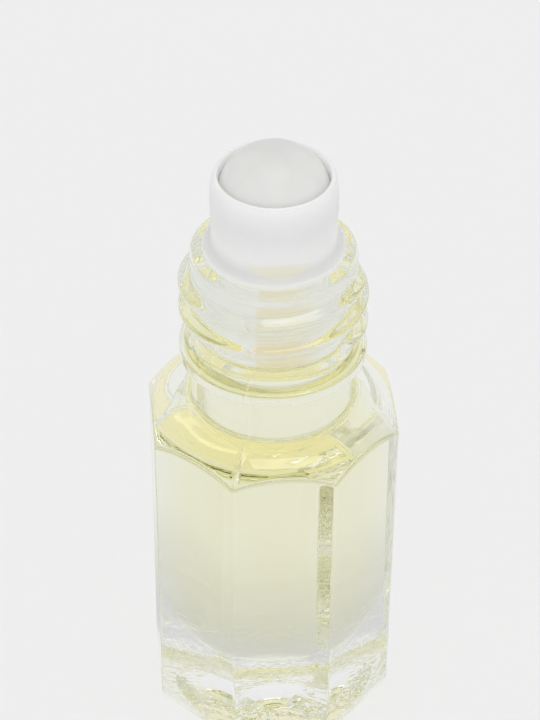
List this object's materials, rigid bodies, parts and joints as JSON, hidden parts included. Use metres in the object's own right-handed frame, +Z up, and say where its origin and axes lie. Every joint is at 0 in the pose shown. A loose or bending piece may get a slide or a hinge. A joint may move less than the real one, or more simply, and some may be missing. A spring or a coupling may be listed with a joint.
{
  "type": "perfume oil bottle",
  "caption": "Small octagonal clear glass perfume oil bottle with a screw-thread neck, a pressed-in ball housing, its roller ball and pale yellow oil inside.",
  "frame": {"origin": "middle of the base, on the plane that the bottle stands on", "axes": "+Z up along the bottle's axis; a flat side faces -Y, and the flats across X and across Y are parallel to the axes"},
  "size_m": [0.017, 0.017, 0.0483],
  "materials": {
    "clear_glass": "clear moulded soda-lime glass, glossy",
    "frosted_plastic": "natural translucent polyethylene, frosted",
    "ball_plastic": "natural translucent polypropylene, satin",
    "perfume_oil": "clear pale yellow oil"
  },
  "bodies": {
    "bottle": {"glass_bottle": "clear_glass", "perfume_oil": "perfume_oil"},
    "housing": {"ball_housing": "frosted_plastic"},
    "ball": {"roller_ball": "ball_plastic"}
  },
  "joints": [
    {"name": "housing_pull", "type": "slide", "parent": "bottle", "child": "housing", "axis": [0, 0, 1], "range_m": [0, 0.007]},
    {"name": "ball_roll", "type": "hinge", "parent": "housing", "child": "ball", "pos_m": [0, 0, 0.04448], "axis": [1, 0, 0], "continuous": true}
  ]
}
